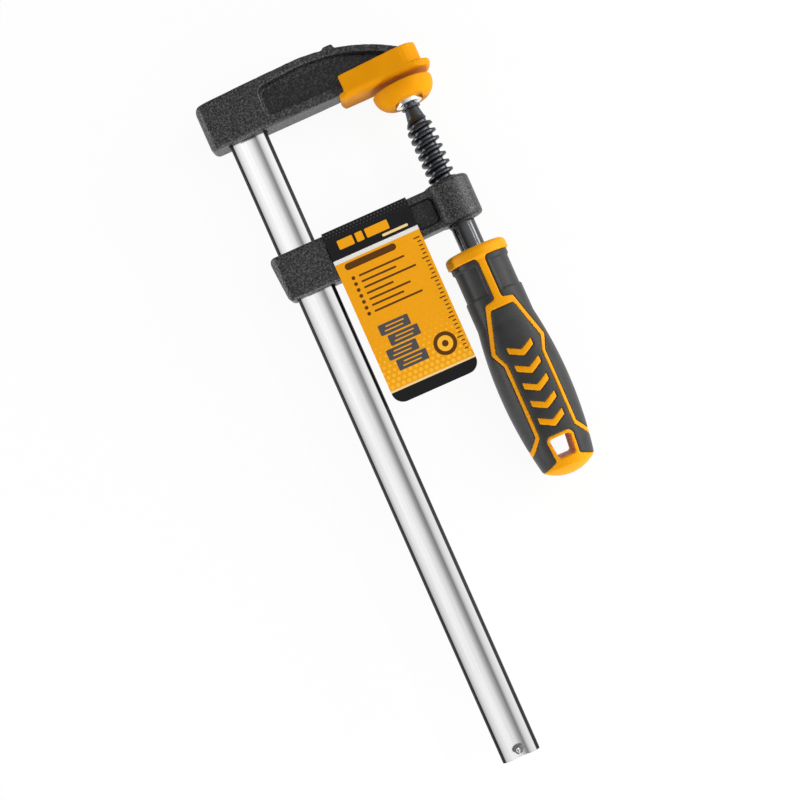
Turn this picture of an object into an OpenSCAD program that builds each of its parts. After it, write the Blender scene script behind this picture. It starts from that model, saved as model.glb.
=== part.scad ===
// F clamp: a toothed flat rail, a fixed jaw and a sliding arm in cast iron, a screw spindle with a
// swivelling foot, slip-on caps on both pads, a two-colour handle and a folded card tag.
// It lies flat. X runs from the rail to the spindle, Y along the rail to the fixed jaw, and Z is up.
// The origin is on the spindle's axis, in the contact face of the jaw's cap, at half the thickness.

/* [Capacity] */
// Reach from the rail's inner edge to the spindle's axis
throat = 50; // [46:1:70]
// Widest opening between the pads
opening = 200; // [120:10:400]
// Gap between the pads as drawn
pad_gap = 2.2; // [2.1:0.1:2.6]
// Distance from the foot's face to the top of the sliding arm as drawn
reach = 37.8; // [37.4:0.2:44]
// Lead of the spindle's thread
thread_pitch = 3; // [2:0.5:3]
// Whole turns that the spindle can be wound back
feed_turns = 8; // [4:1:8]

/* [Rail] */
// Width of the rail
rail_w = 14; // [12:0.5:16]
// Thickness of the rail over its lands
rail_t = 7; // [6:0.25:8]
// Radius of the rail's long edges
rail_edge = 1.3; // [0.8:0.1:1.6]
// Width of the hollow down each face
hollow_w = 6.8; // [5:0.2:7.4]
// Depth of the hollow
hollow_d = 0.8; // [0.4:0.1:1.2]
// Diameter of the rolled stop pin
stop_d = 3; // [2.5:0.25:4]
// Height of the stop pin's ends above the lands
stop_proud = 0.8; // [0.6:0.1:1.2]

/* [Castings] */
// Height of the fixed jaw over the rail
jaw_h = 16.5; // [15:0.5:19]
// Rise of the fixed jaw's back above that height
jaw_arch = 1.4; // [0.8:0.2:2]
// Radius of the back's fall towards the nose
nose_fall = 65; // [60:1:72]
// Metal behind the rail in the fixed jaw
jaw_back = 6.4; // [5:0.2:8]
// Height of the sliding arm over the rail
arm_h = 16.7; // [16.2:0.1:19]
// Metal behind the rail in the sliding arm
arm_back = 3.8; // [3:0.2:5]
// Thickness of both castings around the rail
block_t = 14; // [13:0.5:16]
// Thickness of both arms at their slim end
arm_t = 10.8; // [9:0.2:12]
// Thickness of the web between the ribs
web_t = 4.6; // [3:0.2:6]
// Width of the ribs round the web
rib = 2.6; // [2:0.1:3.2]
// Radius of the upright corners behind the rail
back_r = 4.5; // [3:0.25:5]
// Diameter of the spindle boss
boss_d = 17; // [15.6:0.2:18]
// Height of the spindle boss
boss_h = 15.4; // [14:0.2:16]
// Diameter of the rivet through the fixed jaw
rivet_d = 4; // [3:0.25:5]

/* [Pads] */
// Thickness of the jaw cap's floor
cap_floor = 2.4; // [1.8:0.1:3]
// Thickness of the jaw cap's walls
cap_wall = 1.8; // [1.2:0.1:2.4]
// Length of the nose pad on the rail side of the spindle's axis
pad_in = 18.6; // [16:0.2:20]
// Length of the nose pad beyond the spindle's axis
pad_out = 8.2; // [7:0.2:10]
// Width of the nose pad
pad_w = 14.8; // [13:0.2:17]
// Height of the nose pad
pad_h = 5.4; // [4.5:0.1:6]
// Diameter of the foot's cap
foot_d = 22.2; // [21:0.2:24]
// Height of the foot's cap
foot_h = 6.8; // [6.4:0.1:7]
// Thickness of the foot cap's floor
foot_floor = 1; // [0.8:0.1:1.2]
// Diameter of the foot's pressure plate
plate_d = 17; // [15:0.2:17.4]
// Thickness of the foot's pressure plate
plate_t = 1.4; // [1.2:0.1:1.6]
// Radius of the spindle's ball
ball_r = 2.6; // [2.5:0.1:2.8]
// Wall of the ball socket
socket_wall = 2.3; // [2:0.1:2.4]

/* [Spindle and handle] */
// Outside diameter of the thread
thread_d = 10; // [9.6:0.1:10.4]
// Diameter of the plain shank
shank_d = 9; // [8:0.25:9.25]
// Plain shank that shows between the boss and the handle
shank_show = 10.4; // [8:0.2:14]
// Width across the flats of the tang
tang_af = 7; // [6:0.25:7.5]
// Diameter of the handle's collar
collar_d = 22.8; // [22.2:0.2:24]
// Height of the handle's collar
collar_h = 4.2; // [3.6:0.2:5]
// Diameter of the handle's neck
neck_d = 21.2; // [20.4:0.2:22]
// Greatest diameter of the handle
belly_d = 25.4; // [24:0.2:27]
// Length of the handle
handle_l = 86.2; // [76:0.2:96]
// Thickness of the soft grip
grip_t = 1.6; // [1.2:0.1:2.2]
// Width of the ribs that divide the soft grip
line_w = 1.4; // [1.2:0.1:2]

/* [Tag] */
// Width of the card
tag_w = 32; // [26:1:32]
// Length of the card below the top of the arm
tag_l = 64.6; // [50:0.2:80]
// Thickness of the card
card_t = 0.4; // [0.3:0.05:0.6]

/* [Hidden] */
$fn = 96;
press = 0.02;
run = 0.08;
slide = 0.3;
past = opening + handle_l;

rail_x = -throat - rail_w / 2;
hollow_r = (hollow_w * hollow_w / 4 + hollow_d * hollow_d) / (2 * hollow_d);
feed = feed_turns * thread_pitch;
travel = opening - pad_gap - feed;

jaw_y = cap_floor;
jaw_top = jaw_y + jaw_h + jaw_arch;
jaw_x0 = rail_x - rail_w / 2 - jaw_back;
arch_x = -0.62 * throat;
slim_x = -0.44 * throat;
rivet_y = jaw_y + 0.57 * jaw_h;
block_x = -throat + 1.8;
panel_x = -throat + 2.8;
nose_r = 5;
end_r = nose_r - (pad_w - arm_t) / 2;

foot_y = -pad_gap;
plate_y = foot_y - foot_floor;
ball_y = plate_y - 0.5 - ball_r;
socket_r = ball_r + socket_wall + 0.1;
socket_low = ball_r + 0.3;
bowl_r = 0.284 * foot_d;
bowl_down = 0.039 * foot_d;
ring_y = ball_y - socket_low - 0.85;
ring_t = 0.8;
neck_r = 1.9;
seat_r = 2.25;
root_r = 3.25;
taper_l = 3.7;

arm_y = foot_y - reach;
arm_low = arm_y - arm_h;
boss_y = arm_y + 0.8;
boss_low = boss_y - boss_h;
arm_x0 = rail_x - rail_w / 2 - arm_back;
handle_y = boss_low - shank_show;
butt_r = 0.59 * belly_d;
belly_r = 1.74 * handle_l;
soft_r = 0.024 * belly_d;
hole_draft = 5;
chevron_n = 5;
thread_end = boss_low - 0.8;
tang_l = 38;

stop_y = arm_low - travel - stop_d / 2 - 0.1;
rail_y0 = stop_y - 0.9 * stop_d;
rail_y1 = jaw_y + jaw_h - 0.4;

tag_x1 = -0.302 * throat;
crease_y = arm_y - 0.61 * arm_h;
tag_y0 = arm_y - tag_l;

// Points of an outline whose corners [x, y, r] are rounded by their radius r
function unit(v) = v / norm(v);
function rounded(a, b, c, r) =
    let (p = [b[0], b[1]])
    let (u = unit([a[0], a[1]] - p))
    let (v = unit([c[0], c[1]] - p))
    let (half = acos(u * v) / 2)
    let (o = p + unit(u + v) * r / sin(half))
    let (s = p + u * r / tan(half) - o)
    let (e = p + v * r / tan(half) - o)
    let (a0 = atan2(s[1], s[0]))
    let (turn = atan2(s[0] * e[1] - s[1] * e[0], s * e))
    [for (i = [0:6]) o + r * [cos(a0 + turn * i / 6), sin(a0 + turn * i / 6)]];
function outline(p) =
    let (n = len(p))
    [for (i = [0:n - 1]) each p[i][2] > 0 ? rounded(p[(i + n - 1) % n], p[i], p[(i + 1) % n], p[i][2])
                                          : [[p[i][0], p[i][1]]]];

// A shape drawn in X and Z, run along Y
module along_y(y0, y1) {
    translate([0, y1, 0]) rotate([90, 0, 0]) linear_extrude(y1 - y0) children();
}

// A shape drawn in Y and Z, run along X
module along_x(x0, x1) {
    translate([x0, 0, 0]) rotate([90, 0, 90]) linear_extrude(x1 - x0) children();
}

// A turned shape on the spindle's axis, drawn as radius against depth below y
module turned(y) {
    translate([0, y, 0]) rotate([90, 0, 0]) rotate_extrude() children();
}

// A shape drawn across X and depth below y, run right through in Z
module through(y) {
    translate([0, y, 0]) rotate([180, 0, 0]) linear_extrude(2 * belly_d, center = true) children();
}

// Plain section of the rail, grown by a clearance
module bar(grow) {
    r = rail_edge + grow;
    w = rail_w + 2 * grow;
    t = rail_t + 2 * grow;
    square([w - 2 * r, t], center = true);
    square([w, t - 2 * r], center = true);
    for (x = [-1, 1], z = [-1, 1]) {
        translate([x * (w / 2 - r), z * (t / 2 - r)]) circle(r);
    }
}

// The rail is a flat bar with rounded edges and a shallow hollow down each face.
module rail() {
    color("silver") difference() {
        translate([rail_x, 0, 0]) along_y(rail_y0, rail_y1) difference() {
            bar(0);
            for (s = [-1, 1]) {
                translate([0, s * (rail_t / 2 - hollow_d + hollow_r)]) circle(hollow_r);
            }
        }
        translate([rail_x, stop_y, 0]) cylinder(d = stop_d, h = 2 * rail_t, center = true);
        translate([rail_x, rivet_y, 0]) cylinder(d = rivet_d, h = 2 * rail_t, center = true);
    }
}

// The stop is a rolled pin with an open seam.
module stop_pin() {
    color("gray") translate([rail_x, stop_y, 0]) difference() {
        cylinder(d = stop_d - 2 * press, h = rail_t + 2 * stop_proud, center = true);
        cylinder(d = 0.45 * stop_d, h = 2 * rail_t, center = true);
        translate([-0.2, -stop_d, -rail_t]) cube([0.4, stop_d, 2 * rail_t]);
    }
}

// Plan of a casting: round behind the rail, then tapered to the slim arm
module casting_plan(x0, x1) {
    polygon(outline([[x0, -block_t / 2, back_r], [block_x, -block_t / 2, 0], [slim_x, -arm_t / 2, 0],
                     [x1, -arm_t / 2, end_r], [x1, arm_t / 2, end_r], [slim_x, arm_t / 2, 0],
                     [block_x, block_t / 2, 0], [x0, block_t / 2, back_r]]));
}

// The fixed jaw's back rises to the arch, then falls in a round sweep; shrink draws the panel inside it.
module jaw_side(x0, y0, shrink, r) {
    back_y = jaw_y + jaw_h - shrink;
    intersection() {
        polygon(outline([[x0, y0, r], [pad_out, y0, 0], [pad_out, jaw_top, 0],
                         [arch_x, jaw_top - shrink, 0], [x0, back_y, r + 1]]));
        union() {
            translate([x0 - 1, y0 - 1]) square([arch_x - x0 + 1, jaw_top + 2]);
            translate([arch_x, jaw_top - nose_fall]) circle(nose_fall - shrink, $fn = 360);
        }
    }
}

// The fixed jaw: cheek block on the rail, ribbed arm with a knuckle on its back, and a wide nose pad.
module fixed_jaw() {
    color([0.2, 0.2, 0.21]) difference() {
        union() {
            intersection() {
                linear_extrude(2 * block_t, center = true) {
                    jaw_side(jaw_x0, jaw_y, 0, 1.5);
                    translate([slim_x + 1.2, jaw_y + 8]) polygon(outline([[0, 0, 0], [4.2, 0, 0],
                        [4.2, jaw_top - jaw_y - 8, 0.9], [0, jaw_top - jaw_y - 8, 0.9]]));
                }
                along_y(-1, jaw_top + 1) casting_plan(jaw_x0, pad_out - 0.8);
                along_x(jaw_x0 - 1, pad_out + 1) polygon(outline([[jaw_y, -block_t / 2, 1.6],
                    [jaw_top, -block_t / 2, 1.2], [jaw_top, block_t / 2, 1.2], [jaw_y, block_t / 2, 1.6]]));
            }
            along_y(jaw_y, jaw_y + pad_h) nose_plan(0);
        }
        for (s = [0, 1]) {
            mirror([0, 0, s]) translate([0, 0, web_t / 2]) linear_extrude(block_t) intersection() {
                jaw_side(panel_x, jaw_y + 1.4 * rib, rib, 2);
                translate([panel_x, 0]) square([-1 - panel_x, 2 * jaw_top]);
            }
        }
        translate([rail_x, 0, 0]) along_y(-1, jaw_top + 1) bar(press);
        translate([rail_x, rivet_y, 0]) cylinder(d = rivet_d, h = 2 * block_t, center = true);
    }
}

// Plan of the nose pad, grown for the cap round it
module nose_plan(grow) {
    w = pad_w / 2 + grow;
    polygon(outline([[-pad_in, -w, 0], [pad_out + grow, -w, nose_r + grow],
                     [pad_out + grow, w, nose_r + grow], [-pad_in, w, 0]]));
}

// The rivet locks the jaw to the rail; its ends are dressed down to the cheeks and coated with them.
module jaw_rivet() {
    color("dimgray") translate([rail_x, rivet_y, 0])
        cylinder(d = rivet_d - 2 * press, h = block_t - 0.1, center = true);
}

// The jaw's cap is a shoe: a floor with a lip at both ends, and a wall round the nose pad.
module jaw_cap() {
    lip = cap_wall + 2.6;
    w = pad_w / 2 + cap_wall;
    edge = 0.9 * cap_floor;
    heel = -pad_in - 3.2;
    color([0.93, 0.62, 0.1]) difference() {
        union() {
            intersection() {
                along_y(0, cap_floor) polygon(outline([[heel, -w, 3.6], [pad_out + lip, -w, 8],
                    [pad_out + lip, w, 8], [heel, w, 3.6]]));
                linear_extrude(4 * w, center = true) polygon(outline([[heel - 0.1, 0, edge],
                    [pad_out + lip + 0.2, 0, edge], [pad_out + lip + 0.2, 2 * cap_floor, 0],
                    [heel - 0.1, 2 * cap_floor, 0]]));
                along_x(-past, past) polygon(outline([[0, -w, edge], [2 * cap_floor, -w, 0],
                    [2 * cap_floor, w, 0], [0, w, edge]]));
            }
            intersection() {
                along_y(cap_floor, 20) union() {
                    nose_plan(cap_wall);
                    translate([-pad_in - 1, -w]) square([5, 2 * w]);
                }
                linear_extrude(40, center = true) polygon([[-pad_in - 1, 0], [pad_out + 4, 0],
                    [pad_out + 4, cap_floor + pad_h + 1.6], [-pad_in - 1, cap_floor + pad_h + 0.3]]);
            }
        }
        along_y(cap_floor, 30) union() {
            nose_plan(press);
            translate([-pad_in - 2, -pad_w / 2 - press]) square([4, pad_w + 2 * press]);
        }
    }
}

// The sliding arm: cheek block with a window for the rail, ribbed arm, and the boss for the spindle.
module sliding_arm() {
    color([0.2, 0.2, 0.21]) difference() {
        union() {
            intersection() {
                linear_extrude(2 * block_t, center = true) polygon(outline([[arm_x0, arm_y, 2],
                    [0, arm_y, 0], [0, boss_low + 0.4, 0], [slim_x + 4, boss_low, 0],
                    [block_x + 3, arm_low, 3], [arm_x0 + 1.3, arm_low, 2]]));
                along_y(arm_low - 1, arm_y + 1) casting_plan(arm_x0, 0);
                along_x(arm_x0 - 1, 1) polygon(outline([[arm_low, -block_t / 2, 1.4],
                    [arm_y, -block_t / 2, 1.4], [arm_y, block_t / 2, 1.4], [arm_low, block_t / 2, 1.4]]));
            }
            turned(boss_y) {
                square([boss_d / 2 - 1.4, boss_h]);
                translate([0, 1.4]) square([boss_d / 2, boss_h - 2.8]);
                for (d = [1.4, boss_h - 1.4]) {
                    translate([boss_d / 2 - 1.4, d]) circle(1.4);
                }
            }
        }
        for (s = [0, 1]) {
            mirror([0, 0, s]) translate([0, 0, web_t / 2]) linear_extrude(block_t)
                polygon(outline([[panel_x, arm_y - rib, 2], [-boss_d / 2 + 1.7, arm_y - rib, 1.4],
                    [-boss_d / 2 + 1.7, boss_low + rib, 1.4], [panel_x, boss_low + rib, 2]]));
        }
        translate([rail_x, 0, 0]) along_y(arm_low - 1, arm_y + 1) bar(slide);
        turned(boss_y + 1) square([thread_d / 2 + run, boss_h + 2]);
    }
}

// The spindle: ball, neck, thread at its outside diameter, plain shank, and the tang in the handle.
module spindle() {
    seat = -ring_y + ring_t;
    root = seat + taper_l;
    full = root + 2.2 * (thread_d / 2 - root_r);
    color([0.25, 0.25, 0.26]) {
        turned(0) difference() {
            union() {
                translate([0, -ball_y]) circle(ball_r);
                translate([0, -ball_y]) square([neck_r, ball_y - ring_y]);
                polygon([[0, -ring_y - 0.1], [neck_r, -ring_y - 0.1], [seat_r, -ring_y], [seat_r, seat],
                    [2.5, seat], [root_r, root], [thread_d / 2, full], [thread_d / 2, -thread_end],
                    [shank_d / 2, -thread_end + 0.5], [shank_d / 2, -handle_y + 4], [0, -handle_y + 4]]);
            }
            translate([-past, 0]) square([past, past]);
        }
        translate([0, handle_y - 3.5, 0]) rotate([90, 0, 0])
            cylinder(d = tang_af / cos(30), h = tang_l, $fn = 6);
    }
}

// The retaining ring is a split ring in the neck's groove, just under the socket's mouth.
module retaining_ring() {
    color([0.15, 0.15, 0.16]) difference() {
        turned(ring_y - 0.05) translate([seat_r + run, 0]) square([3.45 - seat_r - run, ring_t - 0.1]);
        translate([-0.6, ring_y - 5, -10]) cube([1.2, 10, 10]);
    }
}

// The foot: a flat pressure plate with a socket rolled over the ball, its mouth flared for the tilt.
module swivel_foot() {
    down = plate_y - ball_y;
    low = down + socket_low;
    roll = 1;
    color("silver") turned(plate_y) difference() {
        union() {
            square([plate_d / 2, plate_t]);
            square([socket_r - roll, low]);
            square([socket_r, low - roll]);
            translate([socket_r - roll, low - roll]) circle(roll);
        }
        translate([0, down]) circle(ball_r + 0.1);
        polygon([[0, down], [neck_r + 0.6, down + 1.6], [neck_r + 1.3, low + 0.5], [0, low + 0.5]]);
        translate([-past, -past]) square([past, 2 * past]);
    }
}

// The foot's cap is a bowl that holds the plate; its skirt is cut back at the front to show the socket.
module foot_cap() {
    r = foot_d / 2;
    edge = 0.5;
    mouth = socket_r + 0.1;
    bowl_x = r - sqrt(bowl_r * bowl_r - (bowl_down - edge) * (bowl_down - edge));
    color([0.93, 0.62, 0.1]) difference() {
        turned(foot_y) difference() {
            intersection() {
                union() {
                    square([r - edge, foot_h]);
                    translate([0, edge]) square([r, foot_h - edge]);
                    translate([r - edge, edge]) circle(edge);
                }
                translate([bowl_x, bowl_down]) circle(bowl_r, $fn = 240);
            }
            translate([0, foot_floor]) square([plate_d / 2 + press, plate_t + press]);
            translate([0, foot_floor]) square([mouth, past]);
            translate([-past, -past]) square([past, 2 * past]);
        }
        translate([-mouth, foot_y - past, 0]) cube([2 * mouth, past - 0.853 * foot_h, past]);
    }
}

// Places on the handle, as shares of its half width and of its length
function wide(share) = share * belly_d / 2;
function deep(share) = share * handle_l;

// Half section of the handle, as radius against depth
module handle_half() {
    intersection() {
        union() {
            square([collar_d / 2 - 1.8, collar_h]);
            translate([0, 1.8]) square([collar_d / 2, collar_h - 1.8]);
            translate([collar_d / 2 - 1.8, 1.8]) circle(1.8);
            barrel(0);
        }
        union() {
            square([belly_d, handle_l - butt_r / 2]);
            intersection() {
                translate([0, handle_l - butt_r]) circle(butt_r);
                square([belly_d, 2 * handle_l]);
            }
        }
    }
}

// Neck and belly of the handle, drawn smaller by an inset
module barrel(inset) {
    translate([0, 1]) square([neck_d / 2 - inset, deep(0.383)]);
    intersection() {
        translate([0, deep(0.186)]) square([belly_d, handle_l]);
        translate([belly_d / 2 - inset - belly_r, deep(0.615)]) circle(belly_r, $fn = 360);
    }
}

// Half section of the space that the soft grip fills, from the hard core out past the skin
module grip_half() {
    difference() {
        translate([0, collar_h / 2]) square([belly_d, deep(0.9745) - collar_h / 2]);
        barrel(grip_t);
    }
}

// The rib that divides a side grip from the panels: its inner edge (-1) or outer edge (1)
rib_slope = deep(0.152) / wide(0.77);
function rib_edge(side) =
    let (w = side * line_w / 2)
    [[wide(0.7244) + 1.2 * w, deep(0.4327)], [wide(0.5512) + w, deep(0.4942)],
     [wide(0.5512) + w, deep(0.8074) - 0.5 * w]];

// Ground of a side grip, between the stem, the shoulder and the rib
module side_ground() {
    e = rib_edge(1);
    stem = wide(0.1063);
    top = collar_h + press;
    out = 1.2 * belly_d;
    polygon(outline([[stem, top, 2.6 * soft_r], [stem, deep(0.2297), 1.6 * soft_r],
        [wide(0.4094), deep(0.239), 0], [e[0][0], e[0][1], soft_r], [e[1][0], e[1][1], soft_r],
        [e[2][0], e[2][1], soft_r], [out, e[2][1] + (out - e[2][0]) * rib_slope, 0], [out, top, 0]]));
}

// Ground of the front and back panels, round the ring of the hanging hole
module panel_ground() {
    e = rib_edge(-1);
    low = deep(0.96);
    flank = e[2][0] + (low - e[2][1]) / rib_slope;
    half = [[wide(0.3307), deep(0.2668), soft_r], [e[0][0], e[0][1], soft_r], [e[1][0], e[1][1], soft_r],
        [e[2][0], e[2][1], soft_r], [flank, low, 0], [wide(0.7795), deep(0.9594), 0],
        [wide(0.3465), deep(0.9281), soft_r], [wide(0.4016), deep(0.8202), 3.3 * soft_r]];
    polygon(outline([each half, for (i = [len(half) - 1:-1:0]) [-half[i][0], half[i][1], half[i][2]]]));
}

// The panels' ground, without the chevrons
module panel_field() {
    difference() {
        panel_ground();
        chevrons();
    }
}

// The hanging hole, wider towards the collar and drafted from both faces
module hang_hole() {
    top = wide(0.2441);
    low = wide(0.1811);
    for (a = [-hole_draft, hole_draft]) {
        rotate([0, a, 0]) through(handle_y) polygon(outline([[-top, deep(0.8341), 1.6 * soft_r],
            [top, deep(0.8341), 1.6 * soft_r], [low, deep(0.92), 1.3 * soft_r],
            [-low, deep(0.92), 1.3 * soft_r]]));
    }
}

// Chevrons of the hard core that show through the front and back panels
module chevrons() {
    arm = wide(0.36);
    stroke = deep(0.03);
    for (i = [0:chevron_n - 1]) {
        d = deep(0.425) + i * deep(0.0765);
        polygon([[0, d + 0.55 * arm], [arm, d], [arm, d + stroke], [0, d + 0.55 * arm + stroke],
            [-arm, d + stroke], [-arm, d]]);
    }
}

// The hard core carries the collar, ribs and butt, and is moulded round the tang.
module handle_core() {
    color([0.93, 0.62, 0.1]) difference() {
        turned(handle_y) handle_half();
        intersection() {
            turned(handle_y) grip_half();
            through(handle_y) {
                side_ground();
                mirror([1, 0]) side_ground();
                panel_field();
            }
        }
        hang_hole();
        turned(handle_y + 1) square([shank_d / 2 + press, 5.01]);
        translate([0, handle_y - 3, 0]) rotate([90, 0, 0])
            cylinder(d = (tang_af + 2 * press) / cos(30), h = tang_l + 0.8, $fn = 6);
    }
}

// The soft grip fills one ground out to the skin.
module soft_grip() {
    color([0.22, 0.22, 0.23]) intersection() {
        turned(handle_y) intersection() {
            handle_half();
            grip_half();
        }
        through(handle_y) children();
    }
}

// The finger recess under the collar, framed by a rim along the stem
module finger_recess() {
    rim = wide(0.19);
    intersection() {
        turned(handle_y) translate([neck_d / 2 - wide(0.045), deep(0.072)]) square([2, deep(0.131)]);
        through(handle_y) translate([rim, 0]) square([belly_d, handle_l]);
    }
}

// Front and back panels, joined round the butt's flanks
module grip_panel() {
    soft_grip() panel_field();
}

// Side grip towards the rail
module grip_left() {
    mirror([1, 0, 0]) grip_right();
}

// Side grip away from the rail
module grip_right() {
    color([0.22, 0.22, 0.23]) difference() {
        soft_grip() side_ground();
        finger_recess();
    }
}

// The tag is a card folded over the arm: a double header in front, and the back leaf glued up behind.
module hang_tag() {
    h = block_t / 2 + 0.15;
    top = arm_y + 0.15;
    under = arm_low - 0.6;
    join = under - 16;
    color([0.9, 0.6, 0.12]) intersection() {
        along_x(tag_x1 - tag_w, tag_x1) difference() {
            polygon([[top + card_t, -h - card_t], [top + card_t, h + 2 * card_t], [crease_y, h + 2 * card_t],
                [crease_y, h + card_t], [tag_y0, h + card_t], [tag_y0, h - card_t], [join, h - card_t],
                [under, -h - card_t]]);
            polygon([[top, -h], [top, h], [join + 1, h], [under, -h]]);
        }
        linear_extrude(60, center = true) polygon(outline([[tag_x1 - tag_w, tag_y0, 4.2],
            [tag_x1, tag_y0, 4.2], [tag_x1, arm_y + 5, 0], [tag_x1 - tag_w, arm_y + 5, 0]]));
    }
}

rail();
stop_pin();
fixed_jaw();
jaw_rivet();
jaw_cap();
sliding_arm();
spindle();
retaining_ring();
swivel_foot();
foot_cap();
handle_core();
grip_panel();
grip_left();
grip_right();
hang_tag();
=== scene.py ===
# F clamp lying flat: chrome rail, two coated castings, screw spindle with a swivelling foot,
# slip-on orange caps, a two-shot handle and a folded card tag, in the order they are put together.
import math

import bmesh
import bpy
from mathutils import Matrix, Vector


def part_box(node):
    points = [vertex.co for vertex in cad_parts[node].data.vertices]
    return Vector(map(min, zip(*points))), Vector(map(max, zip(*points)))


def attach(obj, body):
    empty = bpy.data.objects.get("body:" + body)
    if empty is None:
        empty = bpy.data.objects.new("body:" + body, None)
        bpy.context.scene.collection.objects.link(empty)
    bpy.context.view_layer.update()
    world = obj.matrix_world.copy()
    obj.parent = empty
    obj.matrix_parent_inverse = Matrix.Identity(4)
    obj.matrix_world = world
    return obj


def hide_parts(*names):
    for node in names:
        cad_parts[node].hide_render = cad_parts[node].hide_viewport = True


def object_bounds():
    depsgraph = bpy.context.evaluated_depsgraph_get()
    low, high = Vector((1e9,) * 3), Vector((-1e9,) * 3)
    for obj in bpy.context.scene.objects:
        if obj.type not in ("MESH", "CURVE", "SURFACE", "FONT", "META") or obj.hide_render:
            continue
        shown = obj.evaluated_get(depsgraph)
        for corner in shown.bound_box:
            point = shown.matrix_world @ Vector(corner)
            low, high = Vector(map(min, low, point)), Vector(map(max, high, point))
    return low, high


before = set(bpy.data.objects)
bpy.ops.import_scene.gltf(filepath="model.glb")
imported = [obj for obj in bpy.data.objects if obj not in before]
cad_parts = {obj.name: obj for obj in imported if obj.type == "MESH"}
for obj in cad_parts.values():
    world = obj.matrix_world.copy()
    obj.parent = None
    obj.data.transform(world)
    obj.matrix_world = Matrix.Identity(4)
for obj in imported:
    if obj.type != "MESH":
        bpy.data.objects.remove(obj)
cad_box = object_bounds()
MM = 0.001


# Rail
# A cold-drawn steel bar, chrome plated, with a shallow hollow rolled down each face. The round corners
# are painted near-black, a painted dark reflection; the dull narrow sides have fine teeth for the arm, and
# both ends are sawn.
def piece(name, bm, body, slot, *nodes):
    mesh = bpy.data.meshes.new(name)
    bm.to_mesh(mesh)
    bm.free()
    obj = bpy.data.objects.new(name, mesh)
    bpy.context.scene.collection.objects.link(obj)
    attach(obj, body)
    if nodes:
        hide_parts(*nodes)
    return obj


def shade(obj, crease):
    obj.data.shade_smooth()
    obj.data.set_sharp_from_angle(angle=math.radians(crease))


rail_low, rail_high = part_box("rail")
rail_mid_x = (rail_low.x + rail_high.x) / 2
rail_half_w = (rail_high.x - rail_low.x) / 2
rail_half_t = (rail_high.z - rail_low.z) / 2
rail_length = rail_high.y - rail_low.y
hollow_half = 3.4 * MM
hollow_depth = 0.8 * MM
hollow_radius = (hollow_half ** 2 + hollow_depth ** 2) / (2 * hollow_depth)
hollow_steps = 5
edge_radius = 1.3 * MM
land_fall = 0.352 * MM
tooth_half = 1.4 * MM
tooth_depth = 0.28 * MM
tooth_pitch = 1.25 * MM
tooth_count = round(rail_length / tooth_pitch)

bm = bmesh.new()
land = [(-rail_half_w, land_fall)]
for k in range(-hollow_steps, hollow_steps + 1):
    x = hollow_half * k / hollow_steps
    land.append((x, hollow_depth - hollow_radius + math.sqrt(hollow_radius ** 2 - x ** 2)))
land.append((rail_half_w, land_fall))
section = [(x, rail_half_t - drop) for x, drop in land]
section += [(rail_half_w, tooth_half), (rail_half_w, -tooth_half)]
section += [(x, drop - rail_half_t) for x, drop in reversed(land)]
section += [(-rail_half_w, -tooth_half), (-rail_half_w, tooth_half)]
ring = [bm.verts.new((rail_mid_x + x, rail_low.y, z)) for x, z in section]
end_face = bm.faces.new(ring)
grown = bmesh.ops.extrude_face_region(bm, geom=[end_face])["geom"]
far_end = [v for v in grown if isinstance(v, bmesh.types.BMVert)]
bmesh.ops.translate(bm, verts=far_end, vec=(0, rail_length, 0))
bmesh.ops.recalc_face_normals(bm, faces=bm.faces[:])


def runs_along(edge):
    return abs(edge.verts[0].co.y - edge.verts[1].co.y) > 0.9 * rail_length


def on_side(v):
    return abs(abs(v.co.x - rail_mid_x) - rail_half_w) < 1e-6


def in_teeth(v):
    return on_side(v) and abs(v.co.z) < tooth_half + 1e-6


corners = [e for e in bm.edges if runs_along(e) and on_side(e.verts[0]) and not in_teeth(e.verts[0])]
bmesh.ops.bevel(bm, geom=corners, offset=edge_radius, segments=5, profile=0.5, affect="EDGES", material=-1)
long_edges = [e for e in bm.edges if runs_along(e)]
bmesh.ops.subdivide_edges(bm, edges=long_edges, cuts=2 * tooth_count - 1, use_grid_fill=True)
for v in [v for v in bm.verts if in_teeth(v)]:
    if round((v.co.y - rail_low.y) * 2 * tooth_count / rail_length) % 2:
        v.co.x += tooth_depth if v.co.x < rail_mid_x else -tooth_depth
rail = piece("rail_bar", bm, "frame", "rail_chrome", "rail")

pin_low, pin_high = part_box("stop_pin")
pin_mid = (pin_low + pin_high) / 2
pin_radius = (pin_high.x - pin_low.x) / 2
drill = bmesh.new()
bmesh.ops.create_cone(drill, cap_ends=True, segments=40, radius1=pin_radius, radius2=pin_radius,
                      depth=4 * rail_half_t, matrix=Matrix.Translation(pin_mid))
drill_mesh = bpy.data.meshes.new("pin_drill")
drill.to_mesh(drill_mesh)
drill.free()
drill_tool = bpy.data.objects.new("pin_drill", drill_mesh)
bpy.context.scene.collection.objects.link(drill_tool)
cut = rail.modifiers.new("pin_hole", "BOOLEAN")
cut.operation = "DIFFERENCE"
cut.object = drill_tool
drilled = bpy.data.meshes.new_from_object(rail.evaluated_get(bpy.context.evaluated_depsgraph_get()))
rail.modifiers.clear()
rail.data = drilled
drilled.name = "rail_bar"
bpy.data.objects.remove(drill_tool)
shade(rail, 32)


def add(tree, kind, inputs=None, **settings):
    made = tree.nodes.new(kind)
    for key, value in settings.items():
        setattr(made, key, value)
    for key, value in (inputs or {}).items():
        if isinstance(value, bpy.types.NodeSocket):
            tree.links.new(value, made.inputs[key])
        else:
            made.inputs[key].default_value = value
    return made


def surface(name, **constants):
    mat = bpy.data.materials.new(name)
    mat.use_nodes = True
    shader = mat.node_tree.nodes["Principled BSDF"]
    for key, value in constants.items():
        shader.inputs[key.replace("_", " ")].default_value = value
    return mat, mat.node_tree, shader


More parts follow.
